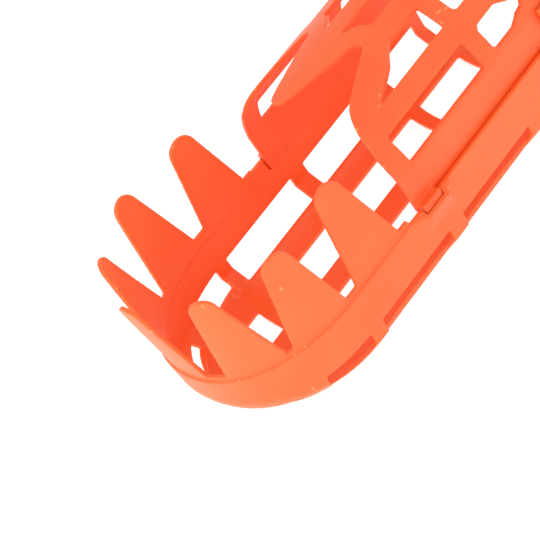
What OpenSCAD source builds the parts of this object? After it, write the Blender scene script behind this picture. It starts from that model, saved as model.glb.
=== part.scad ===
/* [Lower basket] */
// Half of the width across the rim
rim_half_w = 49.3; // [48:0.1:54]
// Depth from the rim down to the underside
tub_depth = 34.2; // [33:0.1:38]
// Width of the slope between walls and bottom
tub_corner = 8.3; // [7:0.1:9]
// Thickness of both mouldings
wall = 2.2; // [1.8:0.1:2.4]
// Distance from the rear teeth to the tip of the nose
nose_x = 91; // [88:0.5:96]
// Length of the rounded nose
nose_len = 59.5; // [56:0.5:66]
// Squareness of the nose in plan, where 2 is an ellipse
nose_power = 2.15; // [2:0.05:2.5]
// Distance from the rear teeth back to the end of the shell
shell_rear = 118; // [112:1:126]

/* [Teeth] */
// Height of the rear teeth above the rim
tooth_h = 45.5; // [40:0.5:48]
// Thickness of the teeth and of the strip that they stand on
strip_t = 2; // [1.6:0.1:2.4]

/* [Upper cage] */
// Half of the width of the arch at the rim
arch_half_w = 46.4; // [44:0.2:46.4]
// Height of the arch above the rim
arch_h = 53; // [50:0.5:56]
// Width of the ribs that cross the basket
rib_w = 8.5; // [7:0.5:10]

/* [Neck strap] */
// Width of the webbing
web_w = 20; // [18:1:20]
// Thickness of one layer of webbing
web_t = 1.6; // [1.4:0.1:1.8]

/* [Hidden] */
$fn = 32;
far_off = 200;

// Shape of the nose in plan: a quarter is split into this many steps
nose_steps = 22;
nose_c = nose_x - nose_len;
corner_steps = 5;
// An even wall makes the inner slope narrower by this share of the wall
slope_share = 2 - sqrt(2);

// The windows of the lower basket, in rows along it and bays across it
side_win_top = -19.2;
side_win_y = 41;
bottom_win = [6, 25.5];
bays = [[29.5, -18], [-27, -75.3], [-84, -112]];
// The bottom windows' ends as [place on the middle line, bow of the edge towards the nose]
bottom_bays = [[[62, 0], [43.9, 0.0037]], [[35.3, 0.0037], [-9.8, 0.0058]],
               [[-16.5, 0.0072], [-69.1, 0.0057]], [[-75.3, 0.0073], [-107, 0.006]]];
bow_steps = 4;
side_front = [56.5, 81.5];
nose_front = [25, 44];
nose_win_top = -22.7;
// The windows round the nose are cut level, and this far into the lower corner
side_front_low = -29.5;
nose_win_low = -27;
nose_win_in = 9;
// The slope turns into a round corner of this radius at the nose's tip
nose_corner = 22;
// The nose's lower corner runs this much further back than the sides' corners run in
nose_tuck = 11.5;

// The toothed strip stands inside the outer rim line
strip_inset = 1.2;
strip_top = 2;
tooth_rows = 6;
// Teeth are set this much inside the strip that they stand on
tooth_sink = 0.15;

// Teeth as [place along the rim from the nose tip, half width at the base, inward lean
// of the tip, height over the rear tooth, shift of the tip along the rim, radius of the tip]
nose_tooth = [0, 12.3, -2.9, 1.1, 0, 5.6];
side_teeth = [[36.3, 14, -0.9, 1, -1.9, 5.6], [68.1, 14.6, -1.8, 1, -0.6, 6.8],
              [103.5, 14.3, 3, 0, -1.2, 7.1]];
strip_end = 123;

// Pockets outside the rim that hold the cage's lugs: a lip that dips below the rim line
pocket = [-4.2, -12.4, -25.2, -31];
pocket_out = 3.2;
pocket_dip = 3;
pocket_depth = 12;
pocket_floor = -7;
lip_t = 1.5;

// Ears at the rear of the rim, with a slot for the strap
ear_front = -112;
ear_rear = -130;
ear_z = [-15, 16];
slot_x = [-126.4, -122.4];
slot_z = [-10.5, 12.5];
bar_x = (ear_rear + slot_x[0]) / 2;
bar_y = rim_half_w - wall / 2;
strap_z = (slot_z[0] + slot_z[1]) / 2;

// The arch is an ellipse with its sides cut off upright
arch_full_w = 48.4;
arch_steps = 40;
rail_z = [-2.4, 17.2];
cage_front = -12;
cage_rear = -116;
bar2_z = 30.2;
bar2_y = 33.6;
ring2 = [-73.5, -73.5 - rib_w];
ring3 = [-108, cage_rear];
top_bar = 4.7;
// The rear windows in the top are narrower than the front ones by this much a side
rear_margin = 0.25;
upper_bar = [13.9, 22.8];
lug = [-12.7, -23.5];
lug_gap = 0.35;
lug_z = [-6.5, 1.5];

lug_out = rim_half_w + pocket_out - lip_t - lug_gap;

// Strap halves, seen from above: a straight stretch, then a bend towards the middle
fold_run = 14;
join_x = bar_x - fold_run;
bend_x = bar_x - 44;
buckle_bend_r = 45;
buckle_bend_a = 28;
billet_bend_r = 66;
billet_bend_a = 112;
loop_r = 2.5;
fold_end_x = bar_x - 32;

// Roller buckle of round wire
wire_r = 1.6;
frame_l = 17;
frame_half_h = web_w / 2 + 3.6;
roller_r = 2.6;
fold_r = wire_r + 0.35;
pin_r = 1.2;
pin_gap = 2.4;

// Where the short strap ends, and the heel bar of the buckle is
end_a = 90 + buckle_bend_a;
bend_c = [bend_x, bar_y - buckle_bend_r];
strap_end = bend_c + buckle_bend_r * [cos(end_a), sin(end_a)];
end_dir = [-sin(end_a), cos(end_a)];
heel_run = 9;
heel = strap_end + end_dir * heel_run;
heel_lap = 14;

// Keeper and eyelets
keeper_x = [bar_x - 40, bar_x - 35];
keeper_gap = 0.4;
keeper_t = 1.5;
billet_c = [bend_x, -(bar_y - billet_bend_r)];
eyelet_a = [for (i = [0:4]) 58 + 11 * i];
eyelet_r = 2.4;
eyelet_rim_r = 4;
// The flat flanges stand clear of the curved webbing by this much in the middle
flange_in = web_t / 2 + 0.18;
flange_out = flange_in + 0.42;
rivet_x = bar_x - 22;
rivet_r = 1.6;
rivet_head_r = 3.6;

// The whole object's middle, so that it stands on the origin
front_x = nose_x - strip_inset - tooth_sink - nose_tooth[2];
back_x = billet_c[0] - billet_bend_r - web_t / 2;
mid_x = (front_x + back_x) / 2;

// ---- the basket's plan curve ----

function nose_pt(t, inset, tuck = 0) = [
  nose_c + (nose_len - inset - tuck) * pow(cos(t), 2 / nose_power),
  (rim_half_w - inset) * pow(sin(t), 2 / nose_power)
];

function reversed(list) = [for (i = [len(list) - 1:-1:0]) list[i]];

// Anticlockwise outline of the basket, with its open end at x = -rear
function outline(inset, rear) =
  let (near = concat([for (i = [0:nose_steps]) nose_pt(90 * i / nose_steps, inset)],
                     [[-rear, rim_half_w - inset]]),
       rest = [for (i = [1:len(near) - 1]) [near[i][0], -near[i][1]]])
  concat(reversed(rest), near);

// The same curve measured by its length, from the tip of the nose back along one side
half_path = concat([for (i = [0:nose_steps]) nose_pt(90 * i / nose_steps, 0)],
                   [[-far_off, rim_half_w]]);
path_s = [for (i = 0, s = 0; i < len(half_path);
               s = s + (i + 1 < len(half_path) ? norm(half_path[i + 1] - half_path[i]) : 0), i = i + 1) s];
path_x = [for (i = [0:len(path_s) - 1]) [path_s[i], half_path[i][0]]];
path_y = [for (i = [0:len(path_s) - 1]) [path_s[i], half_path[i][1]]];

function on_path(s) = [lookup(abs(s), path_x), sign(s) * lookup(abs(s), path_y)];
function out_dir(s) =
  let (d = on_path(s + 1) - on_path(s - 1))
  [d[1], -d[0]] / norm(d);
function shell_pt(s, inset, z) =
  let (p = on_path(s) - out_dir(s) * inset)
  [p[0], p[1], z];

// A solid through rings of points, each anticlockwise from above, the lowest first
module stack(rings) {
  m = len(rings[0]);
  n = len(rings);
  polyhedron(
    points = [for (r = rings) each r],
    faces = concat(
      [[for (j = [0:m - 1]) j]],
      [for (i = [0:n - 2], j = [0:m - 1])
        let (k = (j + 1) % m)
        each [[i * m + j, (i + 1) * m + j, (i + 1) * m + k], [i * m + j, (i + 1) * m + k, i * m + k]]],
      [[for (j = [m - 1:-1:0]) (n - 1) * m + j]]));
}

// A point of the tub's skin: t goes round the nose, and k from 0 to 1 up the lower corner.
// thin is how far the skin lies inside the outer one.
function skin_pt(t, thin, bottom, k) =
  let (w = pow(cos(t), 2),
       slope = tub_corner - thin * slope_share,
       round = nose_corner - thin,
       inset = thin + (1 - w) * slope * (1 - k) + w * round * (1 - sin(90 * k)),
       rise = (1 - w) * slope * k + w * round * (1 - cos(90 * k)),
       p = nose_pt(t, inset, nose_tuck * (1 - sin(90 * k))))
  [p[0], p[1], bottom + rise];

function skin_ring(thin, bottom, rear, k) =
  let (near = [for (i = [0:nose_steps]) skin_pt(90 * i / nose_steps, thin, bottom, k)],
       end = near[nose_steps],
       side = concat(near, [[-rear, end[1], end[2]]]),
       rest = [for (i = [1:len(side) - 1]) [side[i][0], -side[i][1], side[i][2]]])
  concat(reversed(rest), side);

// The basket filled in, inset by a distance on the sides
module tub_solid(inset, bottom, top, rear) {
  rounded = [for (k = [0:corner_steps]) skin_ring(inset, bottom, rear, k / corner_steps)];
  stack(concat(rounded, [[for (p = outline(inset, rear)) [p[0], p[1], top]]]));
}

// Half of a tooth's width at a height, for a tip of radius r at h: straight flanks
// that meet a round tip
function tooth_half(w, z, h, r) =
  let (zc = h - r,
       rise = zc - strip_top,
       d = norm([w, rise]),
       a = atan2(rise, -w) - asin(r / d),
       z_touch = strip_top + sqrt(d * d - r * r) * sin(a))
  z > z_touch ? sqrt(max(0.3, r * r - (z - zc) * (z - zc)))
              : w + (z - strip_top) / tan(a);

function band_ring(s0, s1, steps, inset, z, t = strip_t) = concat(
  [for (j = [0:steps]) shell_pt(s0 + (s1 - s0) * j / steps, inset, z)],
  [for (j = [steps:-1:0]) shell_pt(s0 + (s1 - s0) * j / steps, inset + t, z)]);

module tooth(t, side = 1) {
  h = tooth_h + t[3];
  flank = h - t[5];
  heights = concat([0],
                   [for (k = [0:tooth_rows]) strip_top + (flank - strip_top) * k / tooth_rows],
                   [for (q = [0.5, 0.85, 1]) flank + t[5] * q]);
  stack([for (z = heights)
    let (half = tooth_half(t[1], max(z, strip_top), h, t[5]),
         s = side * (t[0] + t[4] * z / h))
    band_ring(s - half, s + half, 6, strip_inset + tooth_sink + t[2] * z / h, z,
              strip_t - 2 * tooth_sink)]);
}

module strip() {
  stack([for (z = [-3, strip_top]) band_ring(-strip_end, strip_end, 72, strip_inset, z)]);
}

// A straight-sided cutter with rounded corners seen from above
module window(x, y, z) {
  r = 1.5;
  hull()
    for (px = [min(x) + r, max(x) - r], py = [min(y) + r, max(y) - r])
      translate([px, py, z[0]]) cylinder(r = r, h = z[1] - z[0], $fn = 12);
}

// One end of a bottom window: a straight end needs only its two corners
function bowed_end(end, y) =
  let (steps = end[1] == 0 ? 1 : bow_steps)
  [for (j = [0:steps]) let (v = y[0] + (y[1] - y[0]) * j / steps) [end[0] - end[1] * v * v, v]];

// A cutter whose front and rear edges bow towards the nose in the middle of the basket
module bowed_window(front, rear, y, z) {
  translate([0, 0, z[0]])
    linear_extrude(height = z[1] - z[0])
      polygon(concat(bowed_end(front, y), reversed(bowed_end(rear, y))));
}

// A cutter that follows the basket's plan curve
module curved_cut(s0, s1, inset, z) {
  steps = 10;
  span = [for (j = [0:steps]) s0 + (s1 - s0) * j / steps];
  translate([0, 0, z[0]])
    linear_extrude(height = z[1] - z[0])
      polygon([for (p = concat([for (s = span) shell_pt(s, inset[0], 0)],
                               [for (s = reversed(span)) shell_pt(s, inset[1], 0)])) [p[0], p[1]]]);
}

// The lip of a pocket: its top slopes down and out from the rim
module pocket_lip() {
  y0 = rim_half_w - 1;
  thin = 0.4;
  hull() {
    for (k = [0, 3])
      translate([pocket[k] - thin / 2, y0, -thin]) cube([thin, 1, thin]);
    for (k = [1, 2])
      translate([pocket[k] - thin / 2, rim_half_w + pocket_out - 1, -pocket_dip - thin]) cube([thin, 1, thin]);
    translate([pocket[2] - 2, y0, -pocket_depth]) cube([pocket[1] - pocket[2] + 4, 0.9, 1]);
  }
}

module pocket_void() {
  rear = lug[1] - lug_gap;
  translate([rear, rim_half_w - wall - 1, pocket_floor])
    cube([pocket[1] - rear, wall + 1 + pocket_out - lip_t, 20]);
}

module both_sides() {
  children();
  mirror([0, 1, 0]) children();
}

module ear() {
  translate([ear_rear, rim_half_w - wall, 0])
    rotate([-90, 0, 0])
      linear_extrude(height = wall)
        polygon([[0, -ear_z[0]], [ear_front - ear_rear + 2, -ear_z[0]],
                 [ear_front - ear_rear + 22, 0], [ear_front - ear_rear + 6, -ear_z[1]], [0, -ear_z[1]]]);
}

module lower_windows() {
  base = -tub_depth - 5;
  below = [base, -tub_depth + wall + 3];
  both_sides() {
    for (b = bottom_bays) bowed_window(b[0], b[1], bottom_win, below);
    for (b = bays) translate([b[1], side_win_y, base]) cube([b[0] - b[1], 30, side_win_top - base]);
    curved_cut(side_front[0], side_front[1], [-5, nose_win_in], [side_front_low, side_win_top]);
    curved_cut(nose_front[0], nose_front[1], [-5, nose_win_in], [nose_win_low, nose_win_top]);
  }
}

module lower_basket() {
  color("orangered") place() {
    difference() {
      union() {
        tub_solid(0, -tub_depth, 0, shell_rear);
        both_sides() {
          pocket_lip();
          ear();
        }
      }
      tub_solid(wall, -tub_depth + wall, 30, shell_rear + 20);
      both_sides() {
        pocket_void();
        translate([slot_x[0], rim_half_w - 10, slot_z[0]])
          cube([slot_x[1] - slot_x[0], 20, slot_z[1] - slot_z[0]]);
      }
      lower_windows();
    }
    strip();
    tooth(nose_tooth);
    for (t = side_teeth, side = [-1, 1]) tooth(t, side);
  }
}

// ---- the upper cage ----

function arch_pt(a, inset) = [
  min(arch_half_w - inset, max(-(arch_half_w - inset), (arch_full_w - inset) * cos(a))),
  (arch_h - inset) * sin(a)
];

// The arch filled in, over a stretch of x
module arch_solid(inset, x0, x1) {
  translate([x1, 0, 0])
    rotate([90, 0, -90])
      linear_extrude(height = x1 - x0)
        polygon(concat([[-(arch_half_w - inset), rail_z[0] - (inset > 0 ? 5 : 0)],
                        [arch_half_w - inset, rail_z[0] - (inset > 0 ? 5 : 0)]],
                       [for (i = [0:arch_steps]) arch_pt(180 * i / arch_steps, inset)]));
}

// Front edge of the cage seen from above: upright bands at the sides, a tongue in the middle
cage_edge = [[cage_front, 60], [cage_front, 42.3], [-13.5, 37.4], [-15.2, 33.4], [-18.5, 29.3],
             [-22.1, 26.6], [-27.6, 24.4], [-36.5, 21.1], [-44.5, 18.2], [-47.4, 16.4], [-47.2, 14.4],
             [-44.8, 12.6], [-36.4, 10.8], [-28.1, 8.4], [-19.7, 6], [-13, 4], [-10, 2.4], [-9.2, 0]];

module edge_cut() {
  translate([0, 0, 8])
    linear_extrude(height = 80)
      polygon(concat([[20, 60]], cage_edge, [for (p = reversed(cage_edge)) [p[0], -p[1]]], [[20, -60]]));
  translate([cage_front, -60, -20]) cube([60, 120, 30]);
}

module top_cut(outline_pts) {
  translate([0, 0, 20])
    linear_extrude(height = 60) polygon(outline_pts);
}

// An opening in the side of the arch, with rounded corners seen from the side
module side_window(x, z) {
  r = 1.5;
  hull()
    for (px = [min(x) + r, max(x) - r], pz = [min(z) + r, max(z) - r])
      translate([px, -60, pz]) rotate([-90, 0, 0]) cylinder(r = r, h = 120, $fn = 12);
}

module cage_windows() {
  side_window([-22, ring2[0]], [rail_z[1], bar2_z]);
  hull() {
    side_window([ring2[1], -95], [18, 29.5]);
    side_window([-100, -105], [21, 25.5]);
  }
  both_sides() {
    top_cut([[-30, bar2_y], [-38.5, 30.6], [-46.7, 28], [-54.8, upper_bar[1]], [ring2[0], upper_bar[1]],
             [ring2[0], bar2_y]]);
    top_cut([[-48.2, top_bar], [-50.6, 6], [-55.2, 9], [-58.1, upper_bar[0]], [ring2[0], upper_bar[0]],
             [ring2[0], top_bar]]);
    for (y = [[upper_bar[1], bar2_y], [top_bar, upper_bar[0]]])
      window([ring2[1], ring3[0]], [y[0] + rear_margin, y[1] - rear_margin], [20, 80]);
  }
}

module upper_cage() {
  color("tomato") place() {
    difference() {
      arch_solid(0, cage_rear, 0);
      arch_solid(wall, cage_rear - 5, 5);
      edge_cut();
      cage_windows();
    }
    both_sides()
      translate([lug[1], arch_half_w - 1, lug_z[0]])
        cube([lug[0] - lug[1], lug_out - arch_half_w + 1, lug_z[1] - lug_z[0]]);
  }
}

// ---- neck strap ----

module place() {
  translate([-mid_x, 0, tub_depth]) children();
}

// Webbing on edge: a plan outline given its width
module web() {
  translate([0, 0, strap_z - web_w / 2]) linear_extrude(height = web_w) children();
}

// Plan of a layer folded round a bar at the origin, whose two runs meet at x = -run
module fold(r_in, run) {
  r_out = r_in + web_t;
  difference() {
    union() {
      circle(r = r_out);
      polygon([[0, r_out], [0, -r_out], [-run, -web_t], [-run, web_t]]);
    }
    circle(r = r_in);
    polygon([[0, r_in], [0, -r_in], [-run + 1, 0]]);
  }
}

// The end at the basket's slot, with its double layer, up to the start of the bend
module slot_end() {
  web() translate([bar_x, bar_y]) fold(loop_r, fold_run);
  web() translate([fold_end_x, bar_y - web_t]) square([join_x - fold_end_x + 0.5, 2 * web_t]);
  web() translate([bend_x - 1, bar_y - web_t / 2]) square([fold_end_x - bend_x + 2, web_t]);
}

// Plan of a bend about a centre, between two angles from where the bend starts
module bend(c, r, a0, a1, t) {
  intersection() {
    translate(c)
      difference() {
        circle(r = r + t / 2, $fn = 96);
        circle(r = r - t / 2, $fn = 96);
      }
    polygon(concat([c], [for (i = [0:6])
      let (a = 90 + a0 + (a1 - a0) * i / 6)
      c + 3 * r * [cos(a), sin(a)]]));
  }
}

module rivet_hole() {
  translate([rivet_x, bar_y - 10, strap_z])
    rotate([-90, 0, 0]) cylinder(r = rivet_r, h = 20);
}

module strap_buckle_side() {
  color("dimgray") place()
    difference() {
      union() {
        slot_end();
        web() bend(bend_c, buckle_bend_r, 0, buckle_bend_a, web_t);
        web() bend(bend_c, buckle_bend_r, buckle_bend_a - heel_lap, buckle_bend_a, 2 * web_t);
        web() translate(heel) rotate(atan2(end_dir[1], end_dir[0])) fold(fold_r, heel_run + 0.3);
      }
      rivet_hole();
      translate([heel[0], heel[1], strap_z])
        rotate([0, 0, atan2(end_dir[1], end_dir[0])])
          translate([-heel_run / 2, -10, -pin_gap]) cube([20, 20, 2 * pin_gap]);
    }
}

module strap_billet_side() {
  color("dimgray") place()
    mirror([0, 1, 0])
      difference() {
        union() {
          slot_end();
          web() bend([billet_c[0], -billet_c[1]], billet_bend_r, 0, billet_bend_a, web_t);
        }
        rivet_hole();
        eyelet_places() translate([0, 0, -5]) cylinder(r = eyelet_r, h = 10);
      }
}

// Places of the eyelets, with +Z out of the webbing
module eyelet_places() {
  for (a = eyelet_a)
    translate([billet_c[0] + billet_bend_r * cos(90 + a), -billet_c[1] + billet_bend_r * sin(90 + a), strap_z])
      rotate([0, 90, 90 + a]) children();
}

module billet_eyelets() {
  color("goldenrod") place()
    mirror([0, 1, 0])
      eyelet_places()
        rotate_extrude()
          polygon([[eyelet_r - 0.7, -flange_out], [eyelet_rim_r, -flange_out],
                   [eyelet_rim_r, -flange_in], [eyelet_r - 0.05, -flange_in],
                   [eyelet_r - 0.05, flange_in], [eyelet_rim_r, flange_in],
                   [eyelet_rim_r, flange_out], [eyelet_r - 0.7, flange_out]]);
}

module rivet() {
  place()
    translate([rivet_x, bar_y, strap_z])
      rotate([-90, 0, 0])
        rotate_extrude()
          polygon([[0, -web_t - 1.2], [rivet_head_r - 1, -web_t - 1.2], [rivet_head_r, -web_t - 0.05],
                   [rivet_r - 0.05, -web_t - 0.05], [rivet_r - 0.05, web_t + 0.05],
                   [rivet_head_r, web_t + 0.05], [rivet_head_r - 1, web_t + 1.2], [0, web_t + 1.2]]);
}

module rivet_buckle_side() {
  color("silver") rivet();
}

module rivet_billet_side() {
  color("silver") mirror([0, 1, 0]) rivet();
}

// Sets children at the heel bar, with +X along the strap and +Z along the bar
module at_heel() {
  place()
    translate([heel[0], heel[1], strap_z])
      rotate([0, 0, atan2(end_dir[1], end_dir[0])]) children();
}

module buckle_frame() {
  color("silver") at_heel() {
    for (x = [0, frame_l]) translate([x, 0, -frame_half_h]) cylinder(r = wire_r, h = 2 * frame_half_h);
    for (z = [-frame_half_h, frame_half_h]) {
      translate([0, 0, z]) rotate([0, 90, 0]) cylinder(r = wire_r, h = frame_l);
      for (x = [0, frame_l]) translate([x, 0, z]) sphere(r = wire_r);
    }
  }
}

module buckle_roller() {
  color("gainsboro") at_heel()
    translate([frame_l, 0, -web_w / 2 - 1])
      difference() {
        cylinder(r = roller_r, h = web_w + 2);
        translate([0, 0, -1]) cylinder(r = wire_r + 0.08, h = web_w + 4);
      }
}

module buckle_pin() {
  reach = frame_l + 1;
  rise = roller_r + pin_r + 0.15;
  tilt = asin(rise / frame_l);
  color("silver") at_heel() {
    difference() {
      union() {
        translate([0, 0, -pin_gap + 0.6]) cylinder(r = wire_r + 2, h = 2 * pin_gap - 1.2);
        rotate([0, 0, -tilt]) translate([wire_r + 1, 0, 0]) rotate([0, 90, 0]) cylinder(r = pin_r, h = reach);
      }
      translate([0, 0, -5]) cylinder(r = wire_r + 0.08, h = 10);
    }
  }
}

module strap_keeper() {
  inner_h = web_w / 2 + keeper_gap;
  inner_t = web_t / 2 + keeper_gap;
  color("black") place()
    translate([keeper_x[0], bar_y, strap_z])
      rotate([0, 90, 0])
        linear_extrude(height = keeper_x[1] - keeper_x[0])
          difference() {
            square([2 * (inner_h + keeper_t), 2 * (inner_t + keeper_t)], center = true);
            square([2 * inner_h, 2 * inner_t], center = true);
          }
}

lower_basket();
upper_cage();
strap_buckle_side();
strap_billet_side();
buckle_frame();
buckle_roller();
buckle_pin();
strap_keeper();
billet_eyelets();
rivet_buckle_side();
rivet_billet_side();
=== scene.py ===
"""Looks of the basket muzzle: two orange mouldings, and a webbing neck strap with its buckle."""
import math

import bmesh
import bpy
import numpy as np
from mathutils import Matrix, Vector


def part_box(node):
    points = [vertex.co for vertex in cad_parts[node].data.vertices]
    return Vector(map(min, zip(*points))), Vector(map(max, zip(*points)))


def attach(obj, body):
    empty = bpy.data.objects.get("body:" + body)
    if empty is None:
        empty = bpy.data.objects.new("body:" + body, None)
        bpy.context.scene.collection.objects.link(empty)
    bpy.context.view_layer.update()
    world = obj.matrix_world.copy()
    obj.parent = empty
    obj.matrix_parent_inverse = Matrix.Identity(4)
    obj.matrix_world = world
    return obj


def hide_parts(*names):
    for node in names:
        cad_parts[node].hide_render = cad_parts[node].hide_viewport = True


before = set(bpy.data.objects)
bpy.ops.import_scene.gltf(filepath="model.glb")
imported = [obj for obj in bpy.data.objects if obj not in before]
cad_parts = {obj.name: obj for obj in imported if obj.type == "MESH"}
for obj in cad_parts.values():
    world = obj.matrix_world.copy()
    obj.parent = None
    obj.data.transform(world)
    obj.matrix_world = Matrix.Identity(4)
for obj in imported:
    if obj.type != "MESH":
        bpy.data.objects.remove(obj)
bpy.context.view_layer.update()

MM = 0.001

# ---- sizes in mm, in the frame of the rim: x = 0 at the rear teeth, z = 0 at the rim ----
# Lower basket
WALL = 2.2
TUB_DEPTH = 34.2
# Width of the slope between walls and bottom, which is a round corner at the nose's tip
TUB_CORNER = 8.3
NOSE_X = 91.0
NOSE_LEN = 59.5
NOSE_POWER = 2.15
NOSE_CORNER = 22.0
# An even wall makes the inner slope narrower by this share of the wall
SLOPE_SHARE = 2 - math.sqrt(2)
# The nose's lower corner runs this much further back than the sides' corners run in
NOSE_TUCK = 11.5
SHELL_REAR = 118.0
RIM_HALF_W = 49.3
# The toothed strip
STRIP_INSET = 1.2
STRIP_T = 2.0
STRIP_TOP = 2.0
STRIP_END = 123.0
# Teeth: place along the rim, half width, inward lean, height, shift of the tip, tip radius
NOSE_TOOTH = (0.0, 12.3, -2.9, 46.6, 0.0, 5.6)
SIDE_TEETH = ((36.3, 14.0, -0.9, 46.5, -1.9, 5.6), (68.1, 14.6, -1.8, 46.5, -0.6, 6.8),
              (103.5, 14.3, 3.0, 45.5, -1.2, 7.1))
# Windows of the lower basket
SIDE_WIN_TOP = -19.2
SIDE_WIN_Y = 41.0
BOTTOM_WIN = (6.0, 25.5)
BAYS = ((29.5, -18.0), (-27.0, -75.3), (-84.0, -112.0))
# The bottom windows' ends: place on the middle line, and bow of the edge towards the nose
BOTTOM_BAYS = (((62.0, 0.0), (43.9, 0.0037)), ((35.3, 0.0037), (-9.8, 0.0058)),
               ((-16.5, 0.0072), (-69.1, 0.0057)), ((-75.3, 0.0073), (-107.0, 0.006)))
SIDE_FRONT = (56.5, 81.5)
NOSE_FRONT = (25.0, 44.0)
NOSE_WIN_TOP = -22.7
SIDE_FRONT_LOW = -29.5
NOSE_WIN_LOW = -27.0
NOSE_WIN_IN = 9.0
# Pockets that hold the cage's lugs, and the ears with the strap's slots
POCKET = (-4.2, -12.4, -25.2, -31.0)
POCKET_OUT = 3.2
POCKET_DIP = 3.0
POCKET_DEPTH = 12.0
POCKET_FLOOR = -7.0
LIP_T = 1.5
EAR_FRONT = -112.0
EAR_REAR = -130.0
EAR_Z = (-15.0, 16.0)
SLOT_X = (-126.4, -122.4)
SLOT_Z = (-10.5, 12.5)
# Upper cage
ARCH_HALF_W = 46.4
ARCH_FULL_W = 48.4
ARCH_H = 53.0
RAIL_Z = (-2.4, 17.2)
CAGE_REAR = -116.0
CAGE_FRONT = -12.0
BAR2_Z = 30.2
BAR2_Y = 33.6
RING2 = (-73.5, -82.0)
RING3 = -108.0
TOP_BAR = 4.7
UPPER_BAR = (13.9, 22.8)
REAR_MARGIN = 0.25
LUG = (-12.7, -23.5)
LUG_GAP = 0.35
LUG_OUT = RIM_HALF_W + POCKET_OUT - LIP_T - LUG_GAP
LUG_Z = (-6.5, 1.5)
CAGE_EDGE = ((CAGE_FRONT, 60), (CAGE_FRONT, 42.3), (-13.5, 37.4), (-15.2, 33.4), (-18.5, 29.3),
             (-22.1, 26.6), (-27.6, 24.4), (-36.5, 21.1), (-44.5, 18.2), (-47.4, 16.4),
             (-47.2, 14.4), (-44.8, 12.6), (-36.4, 10.8), (-28.1, 8.4), (-19.7, 6.0),
             (-13.0, 4.0), (-10.0, 2.4), (-9.2, 0.0))
# Neck strap: bends are (radius, angle), and the buckle's heel bar is at the end of the first
BAR_X = (EAR_REAR + SLOT_X[0]) / 2
BAR_Y = RIM_HALF_W - WALL / 2
WEB_W = 20.0
WEB_T = 1.6
STRAP_Z = (SLOT_Z[0] + SLOT_Z[1]) / 2
LOOP_R = 2.5
LAP = 32.0
FOLD_RUN = 14.0
FOLD_END_X = BAR_X - LAP
BEND_X = BAR_X - 44
BUCKLE_BEND = (45.0, 28.0)
BILLET_BEND = (66.0, 112.0)
HEEL_LAP = 14.0
HEEL_RUN = 9.0
FOLD_TURN = math.radians(97)
WIRE_R = 1.6
FOLD_R = WIRE_R + 0.35
PIN_GAP = 2.4
PIN_SLOT_REACH = 15.0

# The rim frame's origin in the part's own frame
ORIGIN = Vector((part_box("upper_cage")[0].x / MM - CAGE_REAR, 0, TUB_DEPTH))

# Size of the voxels that join a moulding, and how much its skin is smoothed and thinned
VOXEL = 0.4
SMOOTH_STEPS = 5
SETTLE_STEPS = 2
KEEP_SHARE = 0.4


# ---- the rim's curve ----

def nose_curve(inset=0.0, tuck=0.0, steps=90):
    """Points of a quarter of the rim, from the nose tip to the straight side."""
    t = np.linspace(0, math.pi / 2, steps + 1)
    x = NOSE_X - NOSE_LEN + (NOSE_LEN - inset - tuck) * np.cos(t) ** (2 / NOSE_POWER)
    y = (RIM_HALF_W - inset) * np.sin(t) ** (2 / NOSE_POWER)
    return np.c_[x, y]


PATH = np.vstack([nose_curve(steps=400), [[-200.0, RIM_HALF_W]]])
PATH_S = np.r_[0, np.cumsum(np.hypot(*np.diff(PATH, axis=0).T))]


def on_path(s):
    return np.array([np.interp(abs(s), PATH_S, PATH[:, 0]),
                     math.copysign(1, s) * np.interp(abs(s), PATH_S, PATH[:, 1])])


def shell_pt(s, inset, z):
    """The point at a distance along the rim from the nose tip, moved inwards and up."""
    d = on_path(s + 1) - on_path(s - 1)
    n = np.array([d[1], -d[0]]) / np.hypot(*d)
    p = on_path(s) - n * inset
    return (p[0], p[1], z)


def skin_ring(thin, bottom, rear, k):
    """A ring of the tub's skin, for k from 0 to 1 up its lower corner: a slope at the sides
    that turns into a round corner at the nose."""
    w = np.cos(np.linspace(0, math.pi / 2, 91)) ** 2
    a = k * math.pi / 2
    slope, rounding = TUB_CORNER - thin * SLOPE_SHARE, NOSE_CORNER - thin
    inset = thin + (1 - w) * slope * (1 - k) + w * rounding * (1 - math.sin(a))
    rise = (1 - w) * slope * k + w * rounding * (1 - math.cos(a))
    near = [(x, y, bottom + z)
            for (x, y), z in zip(nose_curve(inset, NOSE_TUCK * (1 - math.sin(a))), rise)]
    x0, y0, z0 = near[-1]
    near += [(x, y0, z0) for x in np.linspace(x0, -rear, 40)[1:]]
    return [(x, -y, z) for x, y, z in near[:0:-1]] + near


# ---- mesh making ----

def new_object(name, verts, faces, smooth=True):
    """Makes an object from points in mm in the rim frame."""
    mesh = bpy.data.meshes.new(name)
    mesh.from_pydata([tuple((Vector(v) + ORIGIN) * MM) for v in verts], [], faces)
    mesh.validate()
    obj = bpy.data.objects.new(name, mesh)
    bpy.context.scene.collection.objects.link(obj)
    if smooth:
        mesh.polygons.foreach_set("use_smooth", [True] * len(mesh.polygons))
    return obj


def stack(rings):
    """Points and faces of a closed solid through rings, each anticlockwise from above."""
    m, n = len(rings[0]), len(rings)
    verts = [v for r in rings for v in r]
    faces = [tuple(range(m))[::-1], tuple((n - 1) * m + j for j in range(m))]
    for i in range(n - 1):
        for j in range(m):
            k = (j + 1) % m
            faces.append((i * m + j, i * m + k, (i + 1) * m + k, (i + 1) * m + j))
    return verts, faces


def merged(parts):
    verts, faces = [], []
    for v, f in parts:
        base = len(verts)
        verts += list(v)
        faces += [tuple(base + i for i in face) for face in f]
    return verts, faces


def mirrored(part):
    v, f = part
    return [(x, -y, z) for x, y, z in v], [tuple(reversed(face)) for face in f]


def both(part):
    return merged([part, mirrored(part)])


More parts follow.
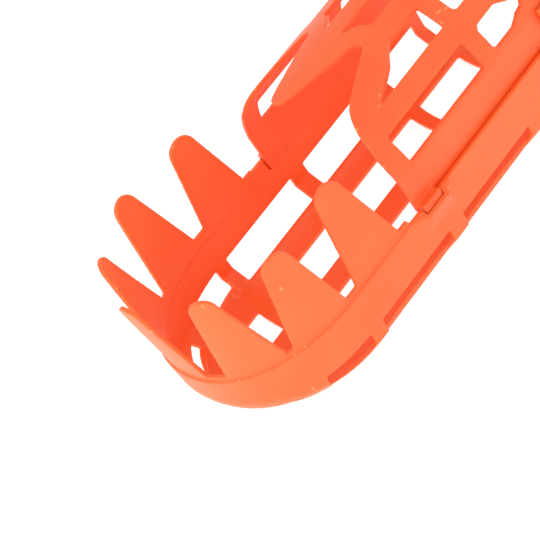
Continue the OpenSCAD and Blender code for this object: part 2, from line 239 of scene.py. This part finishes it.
def prism(points, z0, z1):
    """A plan outline, anticlockwise, given a height."""
    return stack([[(x, y, z) for x, y in points] for z in (z0, z1)])


def box(x, y, z):
    """A block between two places along each axis."""
    x, y = sorted(x), sorted(y)
    return prism([(x[0], y[0]), (x[1], y[0]), (x[1], y[1]), (x[0], y[1])], *z)


def rounded_rect(a, b, r=1.5, steps=6):
    """Outline of a rectangle with round corners, between two places along each axis."""
    a, b = sorted(a), sorted(b)
    pts = []
    for cx, cy, start in ((a[1] - r, b[1] - r, 0), (a[0] + r, b[1] - r, 90),
                          (a[0] + r, b[0] + r, 180), (a[1] - r, b[0] + r, 270)):
        for k in range(steps + 1):
            t = math.radians(start + 90 * k / steps)
            pts.append((cx + r * math.cos(t), cy + r * math.sin(t)))
    return pts


def side_prism(points, half=60.0):
    """An outline in x and z, carried across the whole width."""
    n = len(points)
    verts = [(x, -half, z) for x, z in points] + [(x, half, z) for x, z in points]
    faces = [tuple(range(n)), tuple(range(2 * n - 1, n - 1, -1))]
    faces += [(i, n + i, n + (i + 1) % n, (i + 1) % n) for i in range(n)]
    return verts, faces


def tidy_normals(obj):
    bm = bmesh.new()
    bm.from_mesh(obj.data)
    bmesh.ops.recalc_face_normals(bm, faces=bm.faces)
    bm.to_mesh(obj.data)
    bm.free()


def apply_modifiers(obj):
    """Gives the object the mesh that its modifiers make."""
    dg = bpy.context.evaluated_depsgraph_get()
    mesh = bpy.data.meshes.new_from_object(obj.evaluated_get(dg), depsgraph=dg)
    obj.modifiers.clear()
    obj.data = mesh


def carve(obj, cutter_part):
    """Cuts a closed solid out of the object."""
    cutter = new_object("cutter", *cutter_part, smooth=False)
    tidy_normals(cutter)
    mod = obj.modifiers.new("carve", "BOOLEAN")
    mod.operation = "DIFFERENCE"
    mod.solver = "EXACT"
    mod.use_self = True
    mod.object = cutter
    apply_modifiers(obj)
    bpy.data.objects.remove(cutter)


def add_parts(obj, part):
    """Adds closed solids to a mesh; the remesh then joins what overlaps."""
    extra = new_object("extra", *part, smooth=False)
    tidy_normals(extra)
    bm = bmesh.new()
    bm.from_mesh(obj.data)
    bm.from_mesh(extra.data)
    bm.to_mesh(obj.data)
    bm.free()
    bpy.data.objects.remove(extra)


def mould(obj):
    """Joins the solids of a moulding into one skin with softly rounded edges."""
    remesh = obj.modifiers.new("skin", "REMESH")
    remesh.mode = "VOXEL"
    remesh.voxel_size = VOXEL * MM
    smooth = obj.modifiers.new("soften", "SMOOTH")
    smooth.factor = 0.5
    smooth.iterations = SMOOTH_STEPS
    thin = obj.modifiers.new("thin", "DECIMATE")
    thin.ratio = KEEP_SHARE
    settle = obj.modifiers.new("settle", "SMOOTH")
    settle.factor = 0.5
    settle.iterations = SETTLE_STEPS
    apply_modifiers(obj)
    obj.data.polygons.foreach_set("use_smooth", [True] * len(obj.data.polygons))


# ---- lower basket ----

def tub_part(inset, bottom, top, rear, steps=14):
    """The basket filled in, inset by a distance on the sides."""
    rings = [skin_ring(inset, bottom, rear, k) for k in np.linspace(0, 1, steps + 1)]
    rings.append([(x, y, top) for x, y, _ in rings[-1]])
    return stack(rings)


def band_ring(s0, s1, inset, z, steps, t=STRIP_T):
    s = np.linspace(s0, s1, steps + 1)
    return [shell_pt(a, inset + t, z) for a in s][::-1] + [shell_pt(a, inset, z) for a in s]


def tooth_profile(w, h, r):
    """Heights and half widths of a tooth: straight flanks that meet a round tip."""
    rise = h - r - STRIP_TOP
    d = math.hypot(w, rise)
    a = math.atan2(rise, -w) - math.asin(r / d)
    touch = STRIP_TOP + math.sqrt(d * d - r * r) * math.sin(a)
    rows = [(-1.0, w)] + [(z, w + (z - STRIP_TOP) / math.tan(a))
                          for z in np.linspace(STRIP_TOP, touch, 12)]
    start = math.asin(max(-1, min(1, (touch - h + r) / r)))
    for q in np.linspace(start, math.pi / 2, 14)[1:]:
        rows.append((h - r + r * math.sin(q), max(0.25, r * math.cos(q))))
    return rows


def tooth_part(tooth, side=1):
    s0, w, lean, h, shift, r = tooth
    rings = []
    for z, half in tooth_profile(w, h, r):
        up = max(0.0, z) / h
        s = side * (s0 + shift * up)
        rings.append(band_ring(s - half, s + half, STRIP_INSET + lean * up, z, 16))
    return stack(rings)


def curved_cut(s0, s1, inset, z):
    """A cutter that follows the rim's curve between two distances from the nose tip."""
    s = np.linspace(s0, s1, 25)
    outer = [shell_pt(a, inset[0], 0)[:2] for a in s]
    return prism(outer + [shell_pt(a, inset[1], 0)[:2] for a in s[::-1]], *z)


def lip_part():
    """The lip of a pocket: its top slopes down and out from the rim."""
    y_in, y_out = RIM_HALF_W - 1, RIM_HALF_W + POCKET_OUT
    top = [(POCKET[0], RIM_HALF_W, 0), (POCKET[1], y_out, -POCKET_DIP),
           (POCKET[2], y_out, -POCKET_DIP), (POCKET[3], RIM_HALF_W, 0)]
    low = [(POCKET[0] - 1, RIM_HALF_W, -1.2), (POCKET[1] - 0.6, y_out - 0.5, -POCKET_DIP - 1.6),
           (POCKET[2] + 0.6, y_out - 0.5, -POCKET_DIP - 1.6), (POCKET[3] + 1, RIM_HALF_W, -1.2)]
    foot = [(POCKET[1] + 2, y_in + 0.9, -POCKET_DEPTH), (POCKET[2] - 2, y_in + 0.9, -POCKET_DEPTH)]
    back = [(POCKET[0], y_in, 0), (POCKET[3], y_in, 0), (POCKET[1] + 2, y_in, -POCKET_DEPTH),
            (POCKET[2] - 2, y_in, -POCKET_DEPTH)]
    bm = bmesh.new()
    for p in top + low + foot + back:
        bm.verts.new(p)
    bmesh.ops.convex_hull(bm, input=bm.verts)
    bm.verts.ensure_lookup_table()
    bm.verts.index_update()
    part = [tuple(v.co) for v in bm.verts], [tuple(v.index for v in f.verts) for f in bm.faces]
    bm.free()
    return part


def ear_part():
    """The ear at the rear of the rim that the strap's slot goes through."""
    pts = [(EAR_REAR, EAR_Z[0]), (EAR_FRONT + 2, EAR_Z[0]), (EAR_REAR + 22, 0),
           (EAR_FRONT + 6, EAR_Z[1]), (EAR_REAR, EAR_Z[1])]
    n = len(pts)
    verts = [(x, RIM_HALF_W - WALL, z) for x, z in pts] + [(x, RIM_HALF_W, z) for x, z in pts]
    faces = [tuple(range(n)), tuple(range(2 * n - 1, n - 1, -1))]
    faces += [(i, n + i, n + (i + 1) % n, (i + 1) % n) for i in range(n)]
    return verts, faces


def bowed_window(front, rear, z):
    """A cutter through the bottom whose ends bow towards the nose in the middle."""
    ys = np.linspace(*BOTTOM_WIN, 13)
    ends = [(front[0] - front[1] * y * y, y) for y in ys]
    return prism(ends + [(rear[0] - rear[1] * y * y, y) for y in ys[::-1]], *z)


def lower_cutters():
    base = -TUB_DEPTH - 5
    below = (base, -TUB_DEPTH + WALL + 3)
    half = [bowed_window(front, rear, below) for front, rear in BOTTOM_BAYS]
    half += [box(b, (SIDE_WIN_Y, SIDE_WIN_Y + 30), (base, SIDE_WIN_TOP)) for b in BAYS]
    half.append(curved_cut(*SIDE_FRONT, (-5, NOSE_WIN_IN), (SIDE_FRONT_LOW, SIDE_WIN_TOP)))
    half.append(curved_cut(*NOSE_FRONT, (-5, NOSE_WIN_IN), (NOSE_WIN_LOW, NOSE_WIN_TOP)))
    pocket_y = (RIM_HALF_W - WALL - 1, RIM_HALF_W + POCKET_OUT - LIP_T)
    half.append(box((LUG[1] - LUG_GAP, POCKET[1]), pocket_y, (POCKET_FLOOR, 20)))
    half.append(box(SLOT_X, (RIM_HALF_W - 10, RIM_HALF_W + 10), SLOT_Z))
    return half


def build_lower_basket():
    obj = new_object("lower_moulding", *tub_part(0, -TUB_DEPTH, 0, SHELL_REAR))
    tidy_normals(obj)
    carve(obj, tub_part(WALL, -TUB_DEPTH + WALL, 30, SHELL_REAR + 20))
    add_parts(obj, both(merged([lip_part(), ear_part()])))
    for part in lower_cutters():
        carve(obj, part)
        carve(obj, mirrored(part))
    strip = stack([band_ring(-STRIP_END, STRIP_END, STRIP_INSET, z, 160) for z in (-3, STRIP_TOP)])
    teeth = [tooth_part(NOSE_TOOTH)] + [tooth_part(t, s) for t in SIDE_TEETH for s in (-1, 1)]
    add_parts(obj, merged([strip] + teeth))
    mould(obj)
    return obj


# ---- upper cage ----

def arch_part(inset, x0, x1, steps=120):
    """The arch filled in, over a stretch of x: an ellipse with its sides cut off upright."""
    low = RAIL_Z[0] - (5 if inset else 0)
    pts = [(ARCH_HALF_W - inset, low)]
    for i in range(steps + 1):
        a = math.pi * i / steps
        y = (ARCH_FULL_W - inset) * math.cos(a)
        limit = ARCH_HALF_W - inset
        pts.append((max(-limit, min(limit, y)), (ARCH_H - inset) * math.sin(a)))
    pts.append((-(ARCH_HALF_W - inset), low))
    n = len(pts)
    verts = [(x0, y, z) for y, z in pts] + [(x1, y, z) for y, z in pts]
    faces = [tuple(range(n))[::-1], tuple(range(n, 2 * n))]
    faces += [(i, (i + 1) % n, n + (i + 1) % n, n + i) for i in range(n)]
    return verts, faces


def smooth_edge(points, per=8):
    """A rounded curve through the corners of an edge."""
    p = [np.array(q, float) for q in points]
    out = [p[0], p[1]]
    for i in range(1, len(p) - 1):
        a, b, c, d = p[i - 1], p[i], p[i + 1], p[min(i + 2, len(p) - 1)]
        for k in range(1, per + 1):
            t = k / per
            out.append(0.5 * (2 * b + (c - a) * t + (2 * a - 5 * b + 4 * c - d) * t * t
                              + (3 * b - a - 3 * c + d) * t ** 3))
    return [tuple(q) for q in out]


def cage_cutters():
    edge = smooth_edge(CAGE_EDGE)
    front = [(20, 60)] + edge + [(x, -y) for x, y in edge[-2::-1]] + [(20, -60)]
    side = side_prism(rounded_rect((-22, RING2[0]), (RAIL_Z[1], BAR2_Z)))
    rear_side = side_prism([(-105, 22.5), (-104, 21), (-100, 20.2), (-95, 18), (RING2[1] - 1.5, 18),
                            (RING2[1], 19.5), (RING2[1], 28), (RING2[1] - 1.5, 29.5), (-95, 29.5),
                            (-100, 26.6), (-104, 25.5), (-105, 24)][::-1])
    up = (20, 80)
    m = REAR_MARGIN
    outer = [(-30, BAR2_Y), (-38.5, 30.6), (-46.7, 28.0), (-54.8, UPPER_BAR[1]),
             (RING2[0], UPPER_BAR[1]), (RING2[0], BAR2_Y)]
    inner = [(-48.2, TOP_BAR), (-50.6, 6.0), (-55.2, 9.0), (-58.1, UPPER_BAR[0]),
             (RING2[0], UPPER_BAR[0]), (RING2[0], TOP_BAR)]
    half = [prism(outer, *up), prism(inner, *up),
            prism(rounded_rect((RING2[1], RING3), (UPPER_BAR[1] + m, BAR2_Y - m)), *up),
            prism(rounded_rect((RING2[1], RING3), (TOP_BAR + m, UPPER_BAR[0] - m)), *up)]
    whole = [prism(front, 8, 88), box((CAGE_FRONT, 48), (-60, 60), (-20, 10)), side, rear_side]
    return whole + half + [mirrored(h) for h in half]


def build_upper_cage():
    obj = new_object("upper_moulding", *arch_part(0, CAGE_REAR, 0))
    tidy_normals(obj)
    carve(obj, arch_part(WALL, CAGE_REAR - 5, 5))
    for part in cage_cutters():
        carve(obj, part)
    lug = box((LUG[1], LUG[0]), (ARCH_HALF_W - 1, LUG_OUT), LUG_Z)
    add_parts(obj, both(lug))
    mould(obj)
    return obj


# ---- webbing ----

def arc(c, r, a0, a1, steps):
    return [(c[0] + r * math.cos(math.radians(a)), c[1] + r * math.sin(math.radians(a)))
            for a in np.linspace(a0, a1, steps + 1)]


def fold_path(r, lap):
    """Centre line of webbing folded round a bar at the origin, from the far side's end round to
    the near side, with both runs towards -x."""
    mid = r + WEB_T / 2
    return ([(-lap, -WEB_T / 2), (-FOLD_RUN, -WEB_T / 2)] + arc((0, 0), mid, -97, 97, 24)
            + [(-FOLD_RUN, WEB_T / 2), (-lap, WEB_T / 2)])


def resample(points, step=1.0):
    p = np.array(points, float)
    s = np.r_[0, np.cumsum(np.hypot(*np.diff(p, axis=0).T))]
    n = max(2, int(s[-1] / step) + 1)
    t = np.linspace(0, s[-1], n)
    return np.c_[np.interp(t, s, p[:, 0]), np.interp(t, s, p[:, 1])], t


def section(half_w, t, r=0.7, steps=4):
    """Across the webbing: thickness and height of a strip with round edges."""
    pts = []
    for cx, cz, a0 in ((t / 2 - r, half_w - r, 0), (-t / 2 + r, half_w - r, 90),
                       (-t / 2 + r, -half_w + r, 180), (t / 2 - r, -half_w + r, 270)):
        for k in range(steps + 1):
            a = math.radians(a0 + 90 * k / steps)
            pts.append((cx + r * math.cos(a), cz + r * math.sin(a)))
    return pts


def ribbon(name, points, width=WEB_W, thickness=WEB_T):
    """Webbing on edge along a path in plan, with its length and height as UV in mm."""
    path, s = resample(points)
    for _ in range(3):
        path[1:-1] = 0.25 * path[:-2] + 0.5 * path[1:-1] + 0.25 * path[2:]
    d = np.gradient(path, axis=0)
    n = np.c_[-d[:, 1], d[:, 0]] / np.hypot(d[:, 0], d[:, 1])[:, None]
    ring = section(width / 2, thickness)
    m = len(ring)
    verts = [(path[i][0] + n[i][0] * u, path[i][1] + n[i][1] * u, STRAP_Z + w)
             for i in range(len(path)) for u, w in ring]
    faces = [(i * m + j, i * m + (j + 1) % m, (i + 1) * m + (j + 1) % m, (i + 1) * m + j)
             for i in range(len(path) - 1) for j in range(m)]
    faces += [tuple(range(m))[::-1], tuple((len(path) - 1) * m + j for j in range(m))]
    obj = new_object(name, verts, faces)
    uv = obj.data.uv_layers.new(name="UVMap")
    for loop in obj.data.loops:
        i, j = divmod(loop.vertex_index, m)
        uv.data[loop.index].uv = (s[i], ring[j][1])
    tidy_normals(obj)
    return obj


def slot_run():
    """Centre line from the lapped end, round the slot's bar, to where the strap starts to bend."""
    fold = [(x + BAR_X, y + BAR_Y) for x, y in fold_path(LOOP_R, LAP)]
    return fold + [(FOLD_END_X - 6, BAR_Y), (BEND_X, BAR_Y)]


def buckle_strap():
    """The short strap, folded round the buckle's heel bar; also that bar's place and axes."""
    r, a = BUCKLE_BEND
    centre = (BEND_X, BAR_Y - r)
    run = slot_run() + arc(centre, r, 90, 90 + a, 20)[1:]
    turn = math.radians(90 + a)
    along = np.array([-math.sin(turn), math.cos(turn)])
    across = np.array([-along[1], along[0]])
    heel_bar = np.array(run[-1]) + along * HEEL_RUN
    mid = FOLD_R + WEB_T / 2
    loop = [tuple(heel_bar + mid * (along * math.cos(t) + across * math.sin(t)))
            for t in np.linspace(-FOLD_TURN, FOLD_TURN, 24)]
    outer = arc(centre, r + WEB_T / 2, 90 + a - HEEL_LAP, 90 + a, 8)
    inner = arc(centre, r - WEB_T / 2, 90 + a - HEEL_LAP, 90 + a, 8)
    path = run[:-8] + outer + loop + inner[::-1]
    return ribbon("buckle_strap_webbing", path), heel_bar, along, across


def billet_strap():
    """The long strap that goes round the neck and through the buckle."""
    r, a = BILLET_BEND
    c = (BEND_X, BAR_Y - r)
    path = slot_run() + arc(c, r, 90, 90 + a, 50)[1:]
    return ribbon("billet_strap_webbing", [(x, -y) for x, y in path])


def stitch_row(points, out, half=0.28):
    """Small raised threads along points on the webbing, each a capsule lying on the surface."""
    parts = []
    for (x0, y0, z0), (x1, y1, z1) in zip(points[:-1], points[1:]):
        a, b = Vector((x0, y0, z0)), Vector((x1, y1, z1))
        d = (b - a)
        a, b = a + d * 0.16, b - d * 0.16
        d.normalize()
        side = d.cross(Vector(out)).normalized()
        up = Vector(out).normalized()
        rings = []
        for t, w in ((0, 0.25), (0.12, 0.8), (0.5, 1.0), (0.88, 0.8), (1, 0.25)):
            p = a.lerp(b, t) + up * (0.1 * math.sin(math.pi * t))
            rings.append([tuple(p + side * half * w * math.cos(q) + up * half * w * math.sin(q))
                          for q in np.linspace(0, 2 * math.pi, 9)[:-1]])
        parts.append(stack(rings))
    return parts


def box_stitch(name, x0, x1, y, out, z_half=7.6, pitch=2.4):
    """A sewn box with a cross, on the flat face of a double layer."""
    parts = []
    corners = [(x0, -z_half), (x1, -z_half), (x1, z_half), (x0, z_half), (x0, -z_half),
               (x1, z_half)]
    runs = list(zip(corners[:-1], corners[1:])) + [((x1, -z_half), (x0, z_half))]
    for (xa, za), (xb, zb) in runs:
        n = max(2, round(math.hypot(xb - xa, zb - za) / pitch))
        pts = [(xa + (xb - xa) * k / n, y, STRAP_Z + za + (zb - za) * k / n) for k in range(n + 1)]
        parts += stitch_row(pts, (0, out, 0))
    obj = new_object(name, *merged(parts))
    tidy_normals(obj)
    return obj


# ---- materials ----

TUB_ORANGE = ((0.98, 0.142, 0.022), (1.0, 0.162, 0.030))
CAGE_ORANGE = ((0.98, 0.126, 0.021), (1.0, 0.146, 0.029))
# Lighter orange painted into the base colour along convex edges: a painted highlight
PAINTED_EDGE_HIGHLIGHT = (1.0, 0.46, 0.17)
# Pointiness where the painted edge highlight starts and where it is full, and how strong it is
# there
PAINTED_HIGHLIGHT_AT = (0.535, 0.60)
PAINTED_HIGHLIGHT_MIX = 0.55
FLOOR_GLOW = 0.8
WORLD_GLOW = 0.92


def principled(name):
    mat = bpy.data.materials.new(name)
    mat.use_nodes = True
    nodes, links = mat.node_tree.nodes, mat.node_tree.links
    return mat, nodes, links, nodes["Principled BSDF"]


def noise(nodes, links, scale, detail=4.0, roughness=0.55, vector=None):
    coord = nodes.new("ShaderNodeTexCoord")
    tex = nodes.new("ShaderNodeTexNoise")
    tex.inputs["Scale"].default_value = scale
    tex.inputs["Detail"].default_value = detail
    tex.inputs["Roughness"].default_value = roughness
    links.new(coord.outputs["Object"] if vector is None else vector, tex.inputs["Vector"])
    return tex.outputs["Fac"]


def ramp(nodes, links, fac, low, high, low_at=0.35, high_at=0.65):
    node = nodes.new("ShaderNodeValToRGB")
    node.color_ramp.elements[0].position = low_at
    node.color_ramp.elements[1].position = high_at
    node.color_ramp.elements[0].color = (*low, 1)
    node.color_ramp.elements[1].color = (*high, 1)
    links.new(fac, node.inputs["Fac"])
    return node.outputs["Color"]


def scaled(nodes, links, fac, low, high):
    node = nodes.new("ShaderNodeMapRange")
    node.inputs["To Min"].default_value = low
    node.inputs["To Max"].default_value = high
    links.new(fac, node.inputs["Value"])
    return node.outputs["Result"]


def bump(nodes, links, height, strength, distance, normal=None):
    node = nodes.new("ShaderNodeBump")
    node.inputs["Strength"].default_value = strength
    node.inputs["Distance"].default_value = distance
    links.new(height, node.inputs["Height"])
    if normal is not None:
        links.new(normal, node.inputs["Normal"])
    return node.outputs["Normal"]


def moulded_plastic(name, low, high, edge):
    """Bright moulded polypropylene: it glows where it is thin, and its convex edges get a painted
    highlight, a lighter orange mixed into the base colour.
    """
    mat, nodes, links, shader = principled(name)
    tone = ramp(nodes, links, noise(nodes, links, 28, 3), low, high)
    geometry = nodes.new("ShaderNodeNewGeometry")
    # Painted highlight: where pointiness marks a convex edge, the base colour is mixed towards a
    # lighter orange
    painted_highlight_mask = nodes.new("ShaderNodeValToRGB")
    painted_highlight_mask.color_ramp.elements[0].position = PAINTED_HIGHLIGHT_AT[0]
    painted_highlight_mask.color_ramp.elements[1].position = PAINTED_HIGHLIGHT_AT[1]
    painted_highlight_mask.color_ramp.elements[0].color = (0, 0, 0, 1)
    painted_highlight_mask.color_ramp.elements[1].color = (PAINTED_HIGHLIGHT_MIX, PAINTED_HIGHLIGHT_MIX, PAINTED_HIGHLIGHT_MIX, 1)
    links.new(geometry.outputs["Pointiness"], painted_highlight_mask.inputs["Fac"])
    mix = nodes.new("ShaderNodeMix")
    mix.data_type = "RGBA"
    links.new(painted_highlight_mask.outputs["Color"], mix.inputs["Factor"])
    links.new(tone, mix.inputs["A"])
    mix.inputs["B"].default_value = (*edge, 1)
    links.new(mix.outputs["Result"], shader.inputs["Base Color"])
    links.new(scaled(nodes, links, noise(nodes, links, 60, 5), 0.36, 0.48),
              shader.inputs["Roughness"])
    grain = bump(nodes, links, noise(nodes, links, 2600, 2), 0.08, 0.00006)
    flow = bump(nodes, links, noise(nodes, links, 45, 2), 0.12, 0.0004, grain)
    links.new(flow, shader.inputs["Normal"])
    shader.inputs["Subsurface Weight"].default_value = 0.35
    shader.inputs["Subsurface Radius"].default_value = (1.0, 0.42, 0.12)
    shader.inputs["Subsurface Scale"].default_value = 0.0035
    shader.inputs["IOR"].default_value = 1.49
    return mat


def webbing_material(name, dark, light):
    """Woven nylon: ribs across the strap, with a twill of yarns along it."""
    mat, nodes, links, shader = principled(name)
    uv = nodes.new("ShaderNodeTexCoord").outputs["UV"]
    waves = []
    for direction, scale in (("X", 0.55), ("Y", 0.42), ("DIAGONAL", 0.5)):
        wave = nodes.new("ShaderNodeTexWave")
        wave.bands_direction = direction
        wave.inputs["Scale"].default_value = scale
        wave.inputs["Distortion"].default_value = 0.4
        wave.inputs["Detail"].default_value = 1.0
        links.new(uv, wave.inputs["Vector"])
        waves.append(wave.outputs["Fac"])
    add = nodes.new("ShaderNodeMath")
    add.operation = "MULTIPLY_ADD"
    links.new(waves[0], add.inputs[0])
    links.new(waves[1], add.inputs[1])
    links.new(waves[2], add.inputs[2])
    weave = ramp(nodes, links, add.outputs[0], dark, light, 0.2, 1.3)
    links.new(weave, shader.inputs["Base Color"])
    fuzz = bump(nodes, links, noise(nodes, links, 3500, 3), 0.25, 0.0001)
    links.new(bump(nodes, links, add.outputs[0], 0.7, 0.00035, fuzz), shader.inputs["Normal"])
    shader.inputs["Roughness"].default_value = 0.72
    shader.inputs["Sheen Weight"].default_value = 0.35
    shader.inputs["Sheen Roughness"].default_value = 0.4
    return mat


def metal_material(name, low, high, rough):
    """Plated metal with light rubbing and fine scratches."""
    mat, nodes, links, shader = principled(name)
    shader.inputs["Metallic"].default_value = 1.0
    rubbing = noise(nodes, links, 400, 5)
    links.new(ramp(nodes, links, rubbing, low, high), shader.inputs["Base Color"])
    links.new(scaled(nodes, links, noise(nodes, links, 900, 4), *rough), shader.inputs["Roughness"])
    links.new(bump(nodes, links, noise(nodes, links, 1800, 3), 0.12, 0.00005),
              shader.inputs["Normal"])
    return mat


def grained_plastic(name, low, high):
    """Dark moulded plastic with a fine grain."""
    mat, nodes, links, shader = principled(name)
    mottle = noise(nodes, links, 300, 4)
    links.new(ramp(nodes, links, mottle, low, high), shader.inputs["Base Color"])
    links.new(scaled(nodes, links, noise(nodes, links, 700, 4), 0.38, 0.55),
              shader.inputs["Roughness"])
    links.new(bump(nodes, links, noise(nodes, links, 2400, 3), 0.3, 0.0001),
              shader.inputs["Normal"])
    return mat


def floor_material():
    """A pale sweep lit through from below, as a light table is."""
    mat, nodes, links, shader = principled("pale_floor")
    shader.inputs["Base Color"].default_value = (0.5, 0.5, 0.5, 1)
    shader.inputs["Roughness"].default_value = 0.9
    shader.inputs["Specular IOR Level"].default_value = 0.0
    shader.inputs["Emission Color"].default_value = (1, 1, 1, 1)
    shader.inputs["Emission Strength"].default_value = FLOOR_GLOW
    return mat


def dress(obj, mat):
    obj.data.materials.clear()
    obj.data.materials.append(mat)


def hand_over(obj, mat, body, slot, *nodes):
    """Gives a piece its material, the body it rides on and the CAD nodes it stands for."""
    dress(obj, mat)
    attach(obj, body)
    if nodes:
        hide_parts(*nodes)


# ---- the pieces ----

tub_plastic = moulded_plastic("orange_tub_plastic", *TUB_ORANGE, PAINTED_EDGE_HIGHLIGHT)
cage_plastic = moulded_plastic("orange_cage_plastic", *CAGE_ORANGE, PAINTED_EDGE_HIGHLIGHT)
nylon = webbing_material("black_webbing", (0.006, 0.006, 0.007), (0.05, 0.05, 0.055))
thread = webbing_material("black_thread", (0.02, 0.02, 0.022), (0.08, 0.08, 0.085))
steel = metal_material("plated_steel", (0.62, 0.62, 0.64), (0.8, 0.8, 0.82), (0.14, 0.3))
brass = metal_material("rolled_brass", (0.62, 0.45, 0.2), (0.8, 0.62, 0.33), (0.2, 0.38))
keeper_black = grained_plastic("keeper_black", (0.012, 0.012, 0.013), (0.03, 0.03, 0.032))

hand_over(build_lower_basket(), tub_plastic, "basket", "basket_plastic", "lower_basket")
hand_over(build_upper_cage(), cage_plastic, "cage", "cage_plastic", "upper_cage")

short_strap, heel, along, across = buckle_strap()
pin_slot = [tuple(heel + along * a + across * b)
            for a, b in ((-HEEL_RUN / 2, -10), (PIN_SLOT_REACH, -10), (PIN_SLOT_REACH, 10),
                         (-HEEL_RUN / 2, 10))]
carve(short_strap, prism(pin_slot, STRAP_Z - PIN_GAP, STRAP_Z + PIN_GAP))
hand_over(short_strap, nylon, "buckle_strap", "webbing", "strap_buckle_side")
hand_over(billet_strap(), nylon, "billet_strap", "webbing", "strap_billet_side")
for side, body, name in ((1, "buckle_strap", "buckle_fold_stitching"),
                         (-1, "billet_strap", "billet_fold_stitching")):
    sewn = box_stitch(name, FOLD_END_X + 1.5, BAR_X - 26, side * (BAR_Y + WEB_T + 0.02), side)
    hand_over(sewn, thread, body, "webbing")

for node, mat in (("buckle_frame", steel), ("buckle_roller", steel), ("buckle_pin", steel),
                  ("strap_keeper", keeper_black), ("billet_eyelets", brass),
                  ("rivet_buckle_side", steel), ("rivet_billet_side", steel)):
    dress(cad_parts[node], mat)

# ---- floor, light and camera ----

FLOOR_HALF = 6.0
FLOOR_DROP = 0.0004

floor_mesh = bpy.data.meshes.new("floor")
floor_mesh.from_pydata([(x * FLOOR_HALF, y * FLOOR_HALF, -FLOOR_DROP)
                        for x, y in ((-1, -1), (1, -1), (1, 1), (-1, 1))], [], [(0, 1, 2, 3)])
floor = bpy.data.objects.new("floor", floor_mesh)
bpy.context.scene.collection.objects.link(floor)
dress(floor, floor_material())


def softbox(name, place, aim, size, power):
    """A square area lamp that faces a point."""
    lamp = bpy.data.lights.new(name, "AREA")
    lamp.shape = "SQUARE"
    lamp.size = size
    lamp.energy = power
    obj = bpy.data.objects.new(name, lamp)
    obj.location = place
    obj.rotation_euler = (Vector(aim) - Vector(place)).to_track_quat("-Z", "Y").to_euler()
    bpy.context.scene.collection.objects.link(obj)


BASKET_MIDDLE = (0.05, 0, 0.03)
NOSE = (0.15, 0, 0.02)
softbox("key_softbox", (0.55, 0.75, 0.9), BASKET_MIDDLE, 0.7, 0.8)
softbox("fill_softbox", (1.0, 0.1, 0.15), NOSE, 0.6, 3.0)

world = bpy.data.worlds.new("studio")
world.use_nodes = True
world.node_tree.nodes["Background"].inputs["Color"].default_value = (1, 1, 1, 1)
world.node_tree.nodes["Background"].inputs["Strength"].default_value = WORLD_GLOW
bpy.context.scene.world = world
bpy.context.scene.view_settings.view_transform = "Standard"

# The camera's place in metres and its axes, in the part's frame
CAMERA_PLACE = Vector((0.29980, 0.49217, 0.48026))
CAMERA_RIGHT = Vector((-0.5929, 0.6553, -0.4680))
CAMERA_UP = Vector((-0.7561, -0.2530, 0.6036))
CAMERA_LENS = 113.41

camera_data = bpy.data.cameras.new("camera")
camera_data.lens = CAMERA_LENS
camera_data.sensor_width = 36
camera_data.clip_start = 0.01
camera = bpy.data.objects.new("camera", camera_data)
back = CAMERA_RIGHT.cross(CAMERA_UP).normalized()
turn = Matrix((CAMERA_RIGHT, CAMERA_UP, back)).transposed()
camera.matrix_world = Matrix.Translation(CAMERA_PLACE) @ turn.to_4x4()
bpy.context.scene.collection.objects.link(camera)
bpy.context.scene.camera = camera
